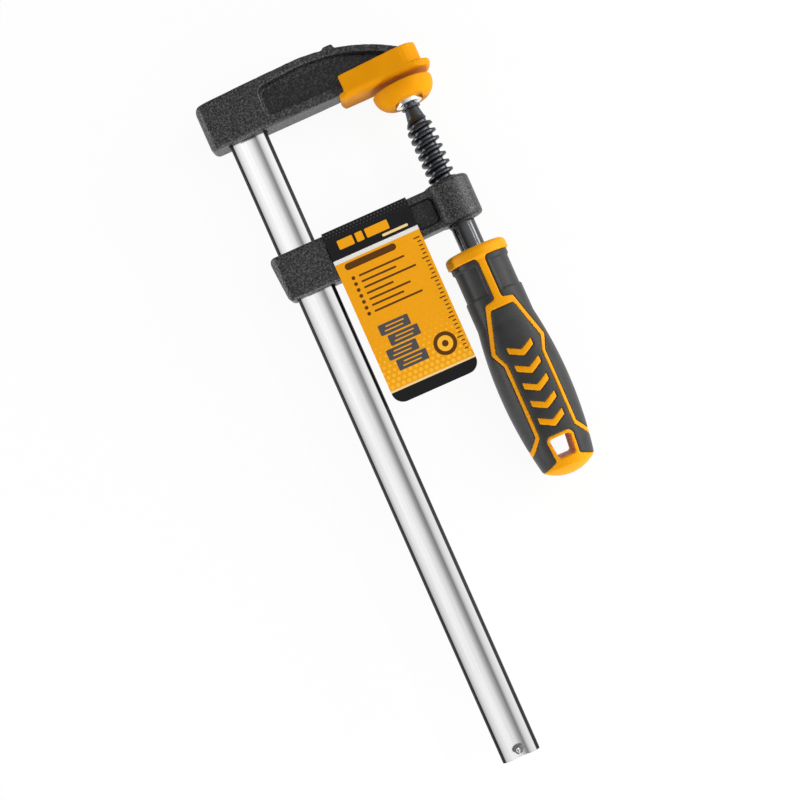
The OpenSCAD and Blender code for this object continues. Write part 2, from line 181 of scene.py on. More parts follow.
def ramp(tree, value, *stops):
    made = add(tree, "ShaderNodeValToRGB", {"Fac": value})
    while len(made.color_ramp.elements) < len(stops):
        made.color_ramp.elements.new(0.5)
    for element, (place, colour) in zip(made.color_ramp.elements, stops):
        element.position = place
        element.color = (*colour, 1) if isinstance(colour, tuple) else (colour, colour, colour, 1)
    return made.outputs["Color"]


def over(tree, ground, mask, colour):
    if isinstance(colour, tuple):
        colour = (*colour, 1)
    laid = add(tree, "ShaderNodeMix", {"Factor": mask, 6: ground, 7: colour}, data_type="RGBA")
    return laid.outputs[2]


chrome, tree, shader = surface("chrome_plate", Metallic=1.0)
where = add(tree, "ShaderNodeTexCoord").outputs["Object"]
drawn = add(tree, "ShaderNodeMapping", {"Vector": where, "Scale": (2600, 26, 2600)}).outputs["Vector"]
streak = add(tree, "ShaderNodeTexNoise", {"Vector": drawn, "Scale": 1.0, "Detail": 4.0}).outputs["Fac"]
cloud = add(tree, "ShaderNodeTexNoise", {"Vector": where, "Scale": 60.0, "Detail": 3.0}).outputs["Fac"]
from_mid = add(tree, "ShaderNodeVectorMath", {0: where, 1: (rail_low + rail_high) / 2}, operation="SUBTRACT")
from_mid = add(tree, "ShaderNodeVectorMath", {0: from_mid.outputs[0]}, operation="ABSOLUTE").outputs[0]
off = add(tree, "ShaderNodeSeparateXYZ", {"Vector": from_mid}).outputs
edge = add(tree, "ShaderNodeMapRange", {"Value": off["X"], "From Min": rail_half_w - 1.35 * MM,
                                        "From Max": rail_half_w - 1.05 * MM}).outputs["Result"]
flank = add(tree, "ShaderNodeMapRange", {"Value": off["Z"], "From Min": rail_half_t - 1.2 * MM,
                                         "From Max": rail_half_t - 1.9 * MM}).outputs["Result"]
drawn_side = add(tree, "ShaderNodeMath", {0: edge, 1: flank}, operation="MULTIPLY").outputs[0]
sawn = add(tree, "ShaderNodeMapRange", {"Value": off["Y"], "From Min": rail_length / 2 - 0.1 * MM,
                                        "From Max": rail_length / 2 - 0.02 * MM}).outputs["Result"]
plate = ramp(tree, streak, (0.3, (0.88, 0.88, 0.89)), (0.7, (0.97, 0.97, 0.98)))
# Painted dark reflection: a near-black band of base colour along the round corners of both sides.
plate = over(tree, plate, edge, (0.022, 0.022, 0.023))
plate = over(tree, plate, drawn_side, ramp(tree, streak, (0.3, 0.3), (0.7, 0.44)))
plate = over(tree, plate, sawn, ramp(tree, streak, (0.35, 0.13), (0.65, 0.3)))
tree.links.new(plate, shader.inputs["Base Color"])
haze = add(tree, "ShaderNodeMapRange", {"Value": cloud, "To Min": 0.1, "To Max": 0.2}).outputs["Result"]
worked = add(tree, "ShaderNodeMath", {0: edge, 1: sawn}, operation="MAXIMUM").outputs[0]
dull = add(tree, "ShaderNodeMapRange", {"Value": worked, "To Min": 0.0, "To Max": 0.27}).outputs["Result"]
tree.links.new(add(tree, "ShaderNodeMath", {0: haze, 1: dull}, operation="ADD").outputs[0],
               shader.inputs["Roughness"])
lines = add(tree, "ShaderNodeBump", {"Strength": 0.05, "Distance": 0.0001, "Height": streak})
tree.links.new(lines.outputs["Normal"], shader.inputs["Normal"])
rail.data.materials.clear()
rail.data.materials.append(chrome)


# Stop pin
# A rolled spring pin pressed through the free end of the rail, so that the arm can't slide off. Its skin
# is black from hardening; its bore is painted near-white, a painted highlight.
def copy_of(*nodes):
    made = bmesh.new()
    for node in nodes:
        made.from_mesh(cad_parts[node].data)
    bmesh.ops.remove_doubles(made, verts=made.verts[:], dist=2e-6)
    return made


def soften(obj, width, crease=35):
    bevel = obj.modifiers.new("soft_edges", "BEVEL")
    bevel.width = width
    bevel.segments = 2
    bevel.limit_method = "ANGLE"
    bevel.angle_limit = math.radians(crease)


stop_pin = piece("stop_pin_roll", copy_of("stop_pin"), "frame", "pin_steel", "stop_pin")
soften(stop_pin, 0.12 * MM)
shade(stop_pin, 35)

spring_steel, tree, shader = surface("spring_steel", Metallic=1.0)
where = add(tree, "ShaderNodeTexCoord").outputs["Object"]
mottle = add(tree, "ShaderNodeTexNoise", {"Vector": where, "Scale": 1500.0, "Detail": 5.0}).outputs["Fac"]
from_axis = add(tree, "ShaderNodeVectorMath", {0: where, 1: pin_mid}, operation="SUBTRACT").outputs[0]
from_axis = add(tree, "ShaderNodeVectorMath", {0: from_axis, 1: (1, 1, 0)}, operation="MULTIPLY").outputs[0]
radius = add(tree, "ShaderNodeVectorMath", {0: from_axis}, operation="LENGTH").outputs["Value"]
painted_bore_highlight = add(tree, "ShaderNodeMapRange", {"Value": radius, "From Min": 0.56 * pin_radius,
                                        "From Max": 0.5 * pin_radius}).outputs["Result"]
black_skin = ramp(tree, mottle, (0.3, 0.12), (0.75, 0.2))
# Painted highlight: the steel within about half the pin's radius, the bore, is painted near-white.
tree.links.new(over(tree, black_skin, painted_bore_highlight, (0.9, 0.9, 0.9)), shader.inputs["Base Color"])
tree.links.new(ramp(tree, mottle, (0.2, 0.5), (0.8, 0.38)), shader.inputs["Roughness"])
stop_pin.data.materials.append(spring_steel)


# Fixed jaw
# Sand-cast iron, pushed over the rail's end and held by a rivet dressed flush. Both were shot blasted
# and powder coated together in a hammered black, so every edge is soft and the rivet doesn't show.
def cast(obj, voxel, rounds):
    skin = obj.modifiers.new("cast_skin", "REMESH")
    skin.mode = "VOXEL"
    skin.voxel_size = voxel
    skin.use_smooth_shade = True
    worn = obj.modifiers.new("soft_edges", "SMOOTH")
    worn.factor = 0.5
    worn.iterations = rounds


hammered = bpy.data.node_groups.new("hammered_grain", "ShaderNodeTree")
hammered.interface.new_socket("Vector", in_out="INPUT", socket_type="NodeSocketVector")
hammered.interface.new_socket("Size", in_out="INPUT", socket_type="NodeSocketFloat")
hammered.interface.new_socket("Height", in_out="OUTPUT", socket_type="NodeSocketFloat")
hammered.interface.new_socket("Tone", in_out="OUTPUT", socket_type="NodeSocketFloat")
given = hammered.nodes.new("NodeGroupInput")
put = hammered.nodes.new("NodeGroupOutput")
spot, size = given.outputs["Vector"], given.outputs["Size"]
coarse = add(hammered, "ShaderNodeTexNoise", {"Vector": spot, "Scale": size, "Detail": 3.0, "Roughness": 0.6,
                                              "Distortion": 0.4}).outputs["Fac"]
cells = add(hammered, "ShaderNodeTexVoronoi", {"Vector": spot, "Scale": size, "Smoothness": 0.6},
            feature="SMOOTH_F1").outputs["Distance"]
peaks = add(hammered, "ShaderNodeMath", {0: coarse, 1: cells}, operation="SUBTRACT").outputs[0]
hammered.links.new(peaks, put.inputs["Height"])
finer = add(hammered, "ShaderNodeMath", {0: size, 1: 1.5}, operation="MULTIPLY").outputs[0]
fleck = add(hammered, "ShaderNodeTexNoise", {"Vector": spot, "Scale": finer, "Detail": 2.0,
                                             "Distortion": 0.8})
hammered.links.new(fleck.outputs["Fac"], put.inputs["Tone"])

flat_patch = bpy.data.node_groups.new("flat_patch", "ShaderNodeTree")
for name, kind in (("Vector", "Vector"), ("Middle", "Vector"), ("Core", "Vector"), ("Corner", "Float")):
    flat_patch.interface.new_socket(name, in_out="INPUT", socket_type="NodeSocket" + kind)
flat_patch.interface.new_socket("Mask", in_out="OUTPUT", socket_type="NodeSocketFloat")
given = flat_patch.nodes.new("NodeGroupInput").outputs
put = flat_patch.nodes.new("NodeGroupOutput").inputs
off = given["Vector"]
for step, other in (("SUBTRACT", given["Middle"]), ("ABSOLUTE", None), ("SUBTRACT", given["Core"]),
                    ("MAXIMUM", (0, 0, 0)), ("MULTIPLY", (1, 1, 0))):
    values = {0: off} if other is None else {0: off, 1: other}
    off = add(flat_patch, "ShaderNodeVectorMath", values, operation=step).outputs[0]
gap = add(flat_patch, "ShaderNodeVectorMath", {0: off}, operation="LENGTH").outputs["Value"]
gap = add(flat_patch, "ShaderNodeMath", {0: gap, 1: given["Corner"]}, operation="SUBTRACT").outputs[0]
inside = add(flat_patch, "ShaderNodeMapRange", {"Value": gap, "From Min": 0.12, "From Max": 0.0})
flat_patch.links.new(inside.outputs["Result"], put["Mask"])

fixed_jaw = piece("fixed_jaw_casting", copy_of("fixed_jaw", "jaw_rivet"), "frame", "casting",
                  "fixed_jaw", "jaw_rivet")
casting_voxel = 0.36 * MM
casting_rounds = 5
cast(fixed_jaw, casting_voxel, casting_rounds)

# Middle and half size of the flat recess in the jaw and in the arm, and its floor and rim, in millimetres.
jaw_recess = ((-27, 10.4, 0), (18.5, 3.4, 0))
arm_recess = ((-27, -47.5, 0), (19, 3.4, 0))
recess_corner = 1.5
recess_floor = 2.5
recess_rim = 3.6
coat, tree, shader = surface("hammered_coat", Specular_IOR_Level=0.4)
where = add(tree, "ShaderNodeTexCoord").outputs["Object"]
grain = add(tree, "ShaderNodeGroup", node_tree=hammered)
tree.links.new(where, grain.inputs["Vector"])
grain.inputs["Size"].default_value = 1050.0
in_mm = add(tree, "ShaderNodeVectorMath", {0: where, "Scale": 1 / MM}, operation="SCALE").outputs[0]
height = add(tree, "ShaderNodeSeparateXYZ", {"Vector": in_mm}).outputs["Z"]
off_web = add(tree, "ShaderNodeMath", {0: height}, operation="ABSOLUTE").outputs[0]
low = add(tree, "ShaderNodeMapRange", {"Value": off_web, "From Min": recess_rim,
                                       "From Max": recess_floor}).outputs["Result"]
recesses = [add(tree, "ShaderNodeGroup", {"Vector": in_mm, "Middle": middle, "Core": core,
                                          "Corner": recess_corner}, node_tree=flat_patch).outputs["Mask"]
            for middle, core in (jaw_recess, arm_recess)]
recess = add(tree, "ShaderNodeMath", {0: recesses[0], 1: recesses[1]}, operation="MAXIMUM").outputs[0]
# Painted shade: on the floors of the recessed panels the coat is painted darker.
painted_shade_mask = add(tree, "ShaderNodeMath", {0: recess, 1: low}, operation="MULTIPLY").outputs[0]
coat_tone = ramp(tree, grain.outputs["Tone"], (0.38, 0.004), (0.5, 0.02), (0.62, 0.075))
painted_recess_shade = ramp(tree, grain.outputs["Tone"], (0.38, 0.002), (0.5, 0.007), (0.62, 0.04))
tree.links.new(over(tree, coat_tone, painted_shade_mask, painted_recess_shade), shader.inputs["Base Color"])
tree.links.new(ramp(tree, grain.outputs["Height"], (0.0, 0.4), (0.5, 0.28)), shader.inputs["Roughness"])
dimple = add(tree, "ShaderNodeBump", {"Strength": 0.7, "Distance": 0.0002, "Height": grain.outputs["Height"]})
tree.links.new(dimple.outputs["Normal"], shader.inputs["Normal"])
fixed_jaw.data.materials.append(coat)

# Jaw cap
# A slip-on shoe moulded in smooth orange plastic. It is pushed over the jaw's nose pad and held by its own
# spring, so that the jaw doesn't mark the work.
jaw_cap = piece("jaw_cap_shoe", copy_of("jaw_cap"), "frame", "cap_plastic", "jaw_cap")
cast(jaw_cap, 0.24 * MM, 8)


def orange_plastic(name, deep, pale, gloss):
    made, tree, shader = surface(name, Specular_IOR_Level=gloss)
    where = add(tree, "ShaderNodeTexCoord").outputs["Object"]
    flow = add(tree, "ShaderNodeTexNoise", {"Vector": where, "Scale": 90.0, "Detail": 4.0}).outputs["Fac"]
    spark = add(tree, "ShaderNodeTexNoise", {"Vector": where, "Scale": 3500.0, "Detail": 2.0}).outputs["Fac"]
    tree.links.new(ramp(tree, flow, (0.3, deep), (0.7, pale)), shader.inputs["Base Color"])
    tree.links.new(ramp(tree, flow, (0.3, 0.5), (0.7, 0.4)), shader.inputs["Roughness"])
    skin = add(tree, "ShaderNodeBump", {"Strength": 0.12, "Distance": 0.0001, "Height": spark})
    tree.links.new(skin.outputs["Normal"], shader.inputs["Normal"])
    return made


# The caps' orange is a darker copy of the handle core's orange: painted shade on one plastic.
cap_orange = orange_plastic("cap_orange", (0.66, 0.25, 0.002), (0.76, 0.3, 0.003), 0.035)
jaw_cap.data.materials.append(cap_orange)

# Sliding arm
# The second casting, coated like the jaw: a window slides on the rail and locks by tilting, and a tapped boss
# carries the spindle.
sliding_arm = piece("sliding_arm_casting", copy_of("sliding_arm"), "slider", "casting", "sliding_arm")
cast(sliding_arm, casting_voxel, casting_rounds)
sliding_arm.data.materials.append(coat)

# Spindle
# Turned steel with a rolled trapezoid thread, black oiled. The top tapers to the ball's neck,
# and a plain shank runs down into the handle.
thread_pitch = 3.0 * MM
thread_radius = 5.0 * MM
root_radius = 3.2 * MM
shank_radius = 4.5 * MM
taper_radius = 3.25 * MM
taper_end = -14.55 * MM
lead_end = -18.4 * MM
thread_foot = -55.4 * MM
shank_top = -57.2 * MM
turns = 18
steps_a_turn = 56

bm = bmesh.new()
half_tooth = [(0.0, 0.0), (0.12, 0.0), (0.17, 0.07), (0.31, 0.86), (0.35, 0.96), (0.40, 1.0)]
tooth = half_tooth + [(1 - share, height) for share, height in reversed(half_tooth)]
start_y = thread_foot - 3.2 * thread_pitch
tooth_height = thread_radius - root_radius
chain = [bm.verts.new((0.0, start_y + share * thread_pitch, root_radius + height * tooth_height))
         for share, height in tooth]
strip = [bm.edges.new(pair) for pair in zip(chain, chain[1:])]
bmesh.ops.spin(bm, geom=chain + strip, cent=(0, 0, 0), axis=(0, 1, 0), angle=2 * math.pi * turns,
               dvec=(0, thread_pitch / steps_a_turn, 0), steps=steps_a_turn * turns, use_merge=False,
               use_duplicate=False)
bmesh.ops.remove_doubles(bm, verts=bm.verts[:], dist=2e-6)


def share_of(value, low, high):
    return min(1.0, max(0.0, (value - low) / (high - low)))


def set_radius(v, radius):
    k = radius / math.hypot(v.co.x, v.co.z)
    v.co.x *= k
    v.co.z *= k


for v in bm.verts:
    y = v.co.y
    lead = taper_radius + (thread_radius - taper_radius) * share_of(y, taper_end, lead_end)
    crest = shank_radius + (thread_radius - shank_radius) * share_of(y, thread_foot - 0.6 * MM, thread_foot)
    valley = shank_radius - (shank_radius - root_radius) * share_of(y, thread_foot, thread_foot + 2.5 * MM)
    set_radius(v, max(valley, min(math.hypot(v.co.x, v.co.z), lead, crest)))


def open_ring(y, side):
    bmesh.ops.bisect_plane(bm, geom=bm.verts[:] + bm.edges[:] + bm.faces[:], dist=1e-7, plane_co=(0, y, 0),
                           plane_no=(0, side, 0), clear_outer=True)
    return [e for e in bm.edges if e.is_boundary and abs(e.verts[0].co.y - y) < 1e-6]


def turn_on(ring, stations):
    for y, radius in stations:
        made = bmesh.ops.extrude_edge_only(bm, edges=ring)["geom"]
        ring = [e for e in made if isinstance(e, bmesh.types.BMEdge) and e.is_boundary]
        for v in {v for e in ring for v in e.verts}:
            v.co.y = y
            set_radius(v, radius)
    bmesh.ops.holes_fill(bm, edges=ring)


top_ring = open_ring(taper_end, 1)
shank_ring = open_ring(shank_top, -1)
ball_y = -6.3 * MM
ball_radius = 2.6 * MM
groove = [(-10.85 * MM, 2.5 * MM), (-10.85 * MM, 2.25 * MM), (-10.05 * MM, 2.25 * MM), (-10 * MM, 1.9 * MM)]
ball = [(ball_y - ball_radius * math.cos(math.radians(t)), ball_radius * math.sin(math.radians(t)))
        for t in range(48, 180, 12)]
turn_on(top_ring, groove + ball)
turn_on(shank_ring, [(-60 * MM, shank_radius), (-64.8 * MM, shank_radius), (-68.5 * MM, shank_radius)])
bmesh.ops.recalc_face_normals(bm, faces=bm.faces[:])
spindle = piece("spindle_screw", bm, "screw", "dark_steel", "spindle")
shade(spindle, 40)

oiled, tree, shader = surface("oiled_steel", Metallic=1.0)
where = add(tree, "ShaderNodeTexCoord").outputs["Object"]
apart = add(tree, "ShaderNodeSeparateXYZ", {"Vector": where})
flat = add(tree, "ShaderNodeCombineXYZ", {"X": apart.outputs["X"], "Z": apart.outputs["Z"]}).outputs["Vector"]
radius = add(tree, "ShaderNodeVectorMath", {0: flat}, operation="LENGTH").outputs["Value"]
high = add(tree, "ShaderNodeMapRange", {"Value": radius, "From Min": root_radius,
                                        "From Max": thread_radius}).outputs["Result"]
turned = add(tree, "ShaderNodeMapping", {"Vector": where, "Scale": (180, 4000, 180)}).outputs["Vector"]
marks = add(tree, "ShaderNodeTexNoise", {"Vector": turned, "Scale": 1.0, "Detail": 4.0}).outputs["Fac"]
smear = add(tree, "ShaderNodeTexNoise", {"Vector": where, "Scale": 420.0, "Detail": 4.0}).outputs["Fac"]
wear = add(tree, "ShaderNodeMath", {0: high, 1: smear}, operation="MULTIPLY").outputs[0]
plain = add(tree, "ShaderNodeMapRange", {"Value": apart.outputs["Y"], "From Min": thread_foot,
                                         "From Max": shank_top}).outputs["Result"]
oxide = ramp(tree, wear, (0.0, (0.07, 0.076, 0.085)), (0.5, (0.06, 0.061, 0.064)))
tree.links.new(over(tree, oxide, plain, (0.085, 0.086, 0.09)), shader.inputs["Base Color"])
rolled = ramp(tree, wear, (0.05, 0.42), (0.45, 0.3))
tree.links.new(over(tree, rolled, plain, (0.21, 0.21, 0.21)), shader.inputs["Roughness"])
fine_marks = add(tree, "ShaderNodeBump", {"Strength": 0.04, "Distance": 0.0001, "Height": marks})
tree.links.new(fine_marks.outputs["Normal"], shader.inputs["Normal"])
spindle.data.materials.append(oiled)

# Retaining ring
# A thin spring ring of the same dark steel, snapped into the neck's groove under the foot. It travels with
# the spindle but doesn't turn.
retaining_ring = piece("retaining_ring_split", copy_of("retaining_ring"), "carrier", "dark_steel",
                       "retaining_ring")
soften(retaining_ring, 0.12 * MM)
shade(retaining_ring, 35)
retaining_ring.data.materials.append(oiled)

# Swivel foot
# A pressed steel plate, bright zinc plated, with a socket rolled over the spindle's ball so that it swivels.
# The cavity and then the outside are listed as radius and height, in millimetres.
foot_section = [(2.27, -7.76), (2.5, -7.9), (2.9, -9.0), (3.1, -9.2), (4.5, -9.2), (4.85, -9.05), (5.0, -8.7),
                (5.0, -5.1), (5.15, -4.75), (5.5, -4.6), (8.2, -4.6), (8.41, -4.51), (8.5, -4.3), (8.5, -3.5),
                (8.41, -3.29), (8.2, -3.2), (0.0, -3.2)]
cavity = [(2.7 * math.sin(math.radians(t)), -6.3 + 2.7 * math.cos(math.radians(t)))
          for t in range(0, 120, 10)]

bm = bmesh.new()
chain = [bm.verts.new((0.0, y * MM, radius * MM)) for radius, y in cavity + foot_section]
strip = [bm.edges.new(pair) for pair in zip(chain, chain[1:])]
bmesh.ops.spin(bm, geom=chain + strip, cent=(0, 0, 0), axis=(0, 1, 0), dvec=(0, 0, 0), angle=2 * math.pi,
               steps=96, use_merge=True, use_duplicate=False)
bmesh.ops.remove_doubles(bm, verts=bm.verts[:], dist=2e-6)
bmesh.ops.recalc_face_normals(bm, faces=bm.faces[:])
swivel_foot = piece("swivel_foot_socket", bm, "foot", "foot_steel", "swivel_foot")
shade(swivel_foot, 35)

zinc, tree, shader = surface("bright_zinc", Metallic=1.0)
where = add(tree, "ShaderNodeTexCoord").outputs["Object"]
bloom = add(tree, "ShaderNodeTexNoise", {"Vector": where, "Scale": 700.0, "Detail": 4.0}).outputs["Fac"]
tree.links.new(ramp(tree, bloom, (0.3, (0.84, 0.85, 0.86)), (0.7, (0.93, 0.93, 0.94))),
               shader.inputs["Base Color"])
tree.links.new(ramp(tree, bloom, (0.3, 0.34), (0.7, 0.26)), shader.inputs["Roughness"])
swivel_foot.data.materials.append(zinc)

# Foot cap
# A bowl in the same orange plastic as the jaw's cap, snapped over the pressure plate. A notch in its bottom
# lets the socket through.
foot_cap = piece("foot_cap_bowl", copy_of("foot_cap"), "foot", "cap_plastic", "foot_cap")
cast(foot_cap, 0.2 * MM, 3)
foot_cap.data.materials.append(cap_orange)

# Handle core
# The hard first shot of the handle, in orange plastic moulded round the spindle's tang: collar, ribs,
# chevrons, the ring of the hang hole and the butt.
handle_core = piece("handle_core_shot", copy_of("handle_core"), "screw", "core_plastic", "handle_core")
cast(handle_core, 0.35 * MM, 4)
core_orange = orange_plastic("core_orange", (0.74, 0.285, 0.002), (0.82, 0.335, 0.003), 0.08)
handle_core.data.materials.append(core_orange)

# Soft grips
# The second shot: black rubber in three islands that fill the core's grounds. The mould was spark eroded,
# which leaves fine pores in the skin.
rubber, tree, shader = surface("grip_rubber", Specular_IOR_Level=0.16, Sheen_Weight=0.03, Sheen_Roughness=0.5)
where = add(tree, "ShaderNodeTexCoord").outputs["Object"]
leather = add(tree, "ShaderNodeTexNoise", {"Vector": where, "Scale": 2600.0, "Detail": 3.0}).outputs["Fac"]
dust = add(tree, "ShaderNodeTexNoise", {"Vector": where, "Scale": 150.0, "Detail": 4.0}).outputs["Fac"]
tree.links.new(ramp(tree, dust, (0.3, (0.029, 0.029, 0.0295)), (0.75, (0.044, 0.0435, 0.0425))),
               shader.inputs["Base Color"])
tree.links.new(ramp(tree, dust, (0.3, 0.34), (0.75, 0.52)), shader.inputs["Roughness"])
pores = add(tree, "ShaderNodeBump", {"Strength": 0.25, "Distance": 0.00012, "Height": leather})
tree.links.new(pores.outputs["Normal"], shader.inputs["Normal"])
for node in ("grip_panel", "grip_left", "grip_right"):
    grip = piece(node + "_skin", copy_of(node), "screw", "grip_rubber", node)
    cast(grip, 0.3 * MM, 5)
    grip.data.materials.append(rubber)

# Hang tag
# A coated card strip: the printed leaf hangs in front, the strip goes over the arm, back under it and is
# glued up behind the leaf. A second strip makes the black header. The print is bars, rules and dots; a pale
# band at the crease is a painted highlight.
card_t = 0.4 * MM
tag_low, tag_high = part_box("hang_tag")
tag_mid_x = (tag_low.x + tag_high.x) / 2
leaf_z = 7.15 * MM
back_z = -7.15 * MM
over_y = tag_high.y - card_t
under_y = -57.3 * MM
join_y = -73.3 * MM
crease_y = -50.2 * MM
fold_r = 0.9 * MM
corner_r = 4.2 * MM


def card_strip(name, path, folds):
    made = bmesh.new()
    row = [made.verts.new((tag_low.x, y, z)) for y, z in path]
    for pair in zip(row, row[1:]):
        made.edges.new(pair)
    bmesh.ops.bevel(made, geom=[row[i] for i in folds], offset=fold_r, segments=5, profile=0.5,
                    affect="VERTICES", material=-1)
    grown = bmesh.ops.extrude_edge_only(made, edges=made.edges[:])["geom"]
    bmesh.ops.translate(made, verts=[v for v in grown if isinstance(v, bmesh.types.BMVert)],
                        vec=(tag_high.x - tag_low.x, 0, 0))
    ends = [v for v in made.verts if len(v.link_edges) == 2 and abs(v.co.y - tag_low.y) < 1e-6]
    bmesh.ops.bevel(made, geom=ends, offset=corner_r, segments=10, profile=0.5, affect="VERTICES",
                    material=-1)
    bmesh.ops.recalc_face_normals(made, faces=made.faces[:])
    obj = piece(name, made, "slider", "card")
    board = obj.modifiers.new("board", "SOLIDIFY")
    board.thickness = card_t
    board.offset = 1.0
    board.material_offset = 1
    board.material_offset_rim = 1
    return obj


leaf = card_strip("tag_leaf", [(tag_low.y, leaf_z), (over_y, leaf_z), (over_y, back_z), (under_y, back_z),
                               (join_y, leaf_z - card_t), (tag_low.y, leaf_z - card_t)], (1, 2, 3, 4))
header = card_strip("tag_header", [(over_y, -2 * MM), (over_y, leaf_z + card_t),
                                   (crease_y, leaf_z + card_t)], (1,))
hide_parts("hang_tag")

halftone = bpy.data.node_groups.new("halftone", "ShaderNodeTree")
for name, kind in (("Vector", "Vector"), ("Pitch", "Vector"), ("Radius", "Float")):
    halftone.interface.new_socket(name, in_out="INPUT", socket_type="NodeSocket" + kind)
halftone.interface.new_socket("Mask", in_out="OUTPUT", socket_type="NodeSocketFloat")
given = halftone.nodes.new("NodeGroupInput").outputs
put = halftone.nodes.new("NodeGroupOutput").inputs
gaps = []
for shift in (0.0, 0.5):
    inside = given["Vector"]
    for step, other in (("DIVIDE", given["Pitch"]), ("ADD", (shift, shift, 0)), ("FRACTION", None),
                        ("SUBTRACT", (0.5, 0.5, 0)), ("MULTIPLY", given["Pitch"]), ("MULTIPLY", (1, 1, 0))):
        values = {0: inside} if other is None else {0: inside, 1: other}
        inside = add(halftone, "ShaderNodeVectorMath", values, operation=step).outputs[0]
    gaps.append(add(halftone, "ShaderNodeVectorMath", {0: inside}, operation="LENGTH").outputs["Value"])
near = add(halftone, "ShaderNodeMath", {0: gaps[0], 1: gaps[1]}, operation="MINIMUM").outputs[0]
near = add(halftone, "ShaderNodeMath", {0: near, 1: given["Radius"]}, operation="SUBTRACT").outputs[0]
ink = add(halftone, "ShaderNodeMapRange", {"Value": near, "From Min": 0.08, "From Max": -0.08})
halftone.links.new(ink.outputs["Result"], put["Mask"])

amber_ink = (0.83, 0.345, 0.004)
pale_amber_ink = (0.92, 0.46, 0.03)
brown_ink = (0.10, 0.034, 0.003)
black_ink = (0.009, 0.009, 0.010)
grey_ink = (0.07, 0.07, 0.072)
slate_ink = (0.075, 0.07, 0.072)
cream_ink = (0.86, 0.62, 0.28)
painted_crease_highlight = (0.72, 0.71, 0.68)

printed, tree, shader = surface("printed_card", Specular_IOR_Level=0.12)
where = add(tree, "ShaderNodeTexCoord").outputs["Object"]
on_card = add(tree, "ShaderNodeMapping", {"Vector": where, "Location": (-tag_mid_x / MM, 0, 0),
                                          "Scale": (1 / MM, 1 / MM, 1 / MM)}).outputs["Vector"]
apart = add(tree, "ShaderNodeSeparateXYZ", {"Vector": on_card}).outputs
in_front = add(tree, "ShaderNodeMapRange", {"Value": apart["Z"], "From Min": 7.2, "From Max": 7.4})
in_front = in_front.outputs["Result"]


def bars(shapes):
    masks = []
    for x, y, half_x, half_y, corner in shapes:
        bar = add(tree, "ShaderNodeGroup", node_tree=flat_patch)
        tree.links.new(on_card, bar.inputs["Vector"])
        bar.inputs["Middle"].default_value = (x, y, 0)
        bar.inputs["Core"].default_value = (half_x - corner, half_y - corner, 0)
        bar.inputs["Corner"].default_value = corner
        masks.append(bar.outputs["Mask"])
    while len(masks) > 1:
        joined = {0: masks.pop(0), 1: masks.pop(0)}
        masks.append(add(tree, "ShaderNodeMath", joined, operation="MAXIMUM").outputs[0])
    return masks[0]


def both(mask, other):
    return add(tree, "ShaderNodeMath", {0: mask, 1: other}, operation="MULTIPLY").outputs[0]


def dots(pitch, radius):
    made = add(tree, "ShaderNodeGroup", node_tree=halftone)
    tree.links.new(on_card, made.inputs["Vector"])
    made.inputs["Pitch"].default_value = (pitch, 1.732 * pitch, 1)
    tree.links.new(radius, made.inputs["Radius"])
    return made.outputs["Mask"]


def fade(y0, y1, value0, value1):
    return add(tree, "ShaderNodeMapRange", {"Value": apart["Y"], "From Min": y0, "From Max": y1,
                                            "To Min": value0, "To Max": value1}).outputs["Result"]


mottle = add(tree, "ShaderNodeTexNoise", {"Vector": where, "Scale": 900.0, "Detail": 4.0}).outputs["Fac"]
ground = ramp(tree, mottle, (0.3, (0.8, 0.325, 0.003)), (0.7, amber_ink))
ground = over(tree, ground, dots(2.1, fade(-100, -79, 0.8, 0.05)), pale_amber_ink)

# Each printed shape is its middle, half size and corner radius, in millimetres on the card.
rule_lengths = (17, 13, 19.5, 10, 15.5, 12, 18)
first_rule, rule_gap, rule_left = -58, 2.25, -9.6
rules = [(length / 2 + rule_left, first_rule - rule_gap * k, length / 2, 0.3, 0.1)
         for k, length in enumerate(rule_lengths)]
bullets = [(-11.8, first_rule - rule_gap * k, 0.62, 0.62, 0.62) for k in range(len(rule_lengths))]
ruler_x, first_tick, tick_gap = 15, -54, 1.5
ticks = []
for k in range(29):
    half_tick = 0.65 if k % 5 else 1.1
    ticks.append((ruler_x - half_tick, first_tick - tick_gap * k, half_tick, 0.17, 0))
band = [(-3.4, -53.6, 9.6, 1.15, 1.15)]
ground = over(tree, ground, both(bars(rules + bullets + ticks + band), in_front), brown_ink)

plank_places = ((-5.4, -78.6), (-3.6, -83.1), (-6.2, -87.6), (-4.4, -92.1))
planks = [(x, y, 5.6, 1.9, 0.4) for x, y in plank_places]
ground = over(tree, ground, both(bars(planks), in_front), slate_ink)
veins = [(x + 0.4 * side, y + 0.7 * side, 3.4, 0.16, 0.1) for x, y in plank_places for side in (-1, 1)]
ground = over(tree, ground, both(bars(veins), in_front), amber_ink)
for reach, ink in ((4.1, brown_ink), (2.7, pale_amber_ink), (1.1, brown_ink)):
    ground = over(tree, ground, both(bars([(8.2, -91.6, reach, reach, reach)]), in_front), ink)

crease = crease_y / MM
past_edge = 40
black_bands = [(0, crease + 15, past_edge, 15, 0), (0, -110, past_edge, 10, 0)]
ground = over(tree, ground, bars(black_bands), black_ink)
ground = over(tree, ground, both(bars([(0, -99.75, past_edge, 0.3, 0)]), in_front), cream_ink)
